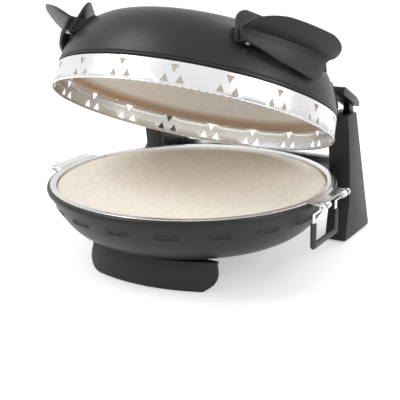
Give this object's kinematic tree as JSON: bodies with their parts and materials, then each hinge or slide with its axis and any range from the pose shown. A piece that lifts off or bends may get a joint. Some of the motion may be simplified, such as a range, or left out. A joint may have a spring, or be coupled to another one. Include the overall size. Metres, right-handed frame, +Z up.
{
  "type": "electric pizza maker",
  "caption": "Countertop electric pizza maker: bowl base on a front foot and rear towers, removable stone tray with drop handles, hinged domed lid with pierced steel band and wing handles.",
  "frame": {"origin": "on the floor, in the middle of the front foot's pad", "axes": "+Z up, -Y towards the front, +X to the right as seen from the front"},
  "size_m": [0.3694, 0.3895, 0.303],
  "materials": {
    "satin_black": "satin",
    "satin_plastic": "satin",
    "dark_metal": "satin",
    "rubber": "matte",
    "black_plastic": "matte",
    "reflector": "satin",
    "element_steel": "matte",
    "ceramic": "matte",
    "bright_steel": "polished",
    "zinc_screw": "satin",
    "lamp_lens": "gloss",
    "brass": "satin",
    "thermostat_case": "matte",
    "stone": "matte",
    "enamel_cream": "satin"
  },
  "bodies": {
    "base": {"base_bowl": "satin_black", "rim_ring": "dark_metal", "base_reflector": "reflector", "lower_heating_element": "element_steel", "lower_element_clips": "bright_steel", "thermal_cutout": "ceramic", "terminal_block": "ceramic", "bottom_cover": "dark_metal", "base_screws": "zinc_screw", "front_foot": "satin_plastic", "front_foot_pad": "rubber", "rear_yoke": "dark_metal", "rear_cross_plate": "bright_steel", "yoke_screws": "zinc_screw", "tower_left": "satin_plastic", "tower_right": "satin_plastic", "tower_cover_left": "satin_plastic", "tower_cover_right": "satin_plastic", "tower_pad_left": "rubber", "tower_pad_right": "rubber", "hinge_pin_left": "bright_steel", "hinge_pin_right": "bright_steel", "hinge_washers": "bright_steel", "cord_inlet": "black_plastic", "thermostat": "thermostat_case", "pilot_lamp": "lamp_lens", "stone_tray": "bright_steel", "stone_plate": "stone", "tray_bracket_left": "bright_steel", "tray_bracket_right": "bright_steel"},
    "lid": {"lid_shell": "satin_black", "lid_trim_ring": "dark_metal", "lid_band": "bright_steel", "lid_inner_plate": "enamel_cream", "lid_screws": "zinc_screw", "upper_heating_element": "element_steel", "upper_element_clips": "bright_steel", "lid_arm_left": "dark_metal", "lid_arm_right": "dark_metal", "hinge_bush_left": "brass", "hinge_bush_right": "brass", "lid_arm_screws": "zinc_screw", "handle_wing_left": "satin_plastic", "handle_wing_right": "satin_plastic", "handle_guard_left": "satin_plastic", "handle_guard_right": "satin_plastic", "handle_screws": "zinc_screw"},
    "wire_handle_left": {"wire_handle_left": "bright_steel", "grip_sleeve_left": "black_plastic"},
    "wire_handle_right": {"wire_handle_right": "bright_steel", "grip_sleeve_right": "black_plastic"},
    "knob": {"control_knob": "black_plastic"}
  },
  "joints": [
    {"name": "lid_hinge", "type": "hinge", "parent": "base", "child": "lid", "pos_m": [0, 0.265, 0.127], "axis": [-1, 0, 0], "range_deg": [-24.6, 65.4]},
    {"name": "wire_handle_left_pivot", "type": "hinge", "parent": "base", "child": "wire_handle_left", "pos_m": [-0.181, 0.105, 0.09485], "axis": [0, 1, 0], "range_deg": [0, 100]},
    {"name": "wire_handle_right_pivot", "type": "hinge", "parent": "base", "child": "wire_handle_right", "pos_m": [0.181, 0.105, 0.09485], "axis": [0, -1, 0], "range_deg": [0, 100]},
    {"name": "knob_turn", "type": "hinge", "parent": "base", "child": "knob", "pos_m": [-0.15, 0.263, 0.076], "axis": [-1, 0, 0], "range_deg": [0, 270]}
  ]
}
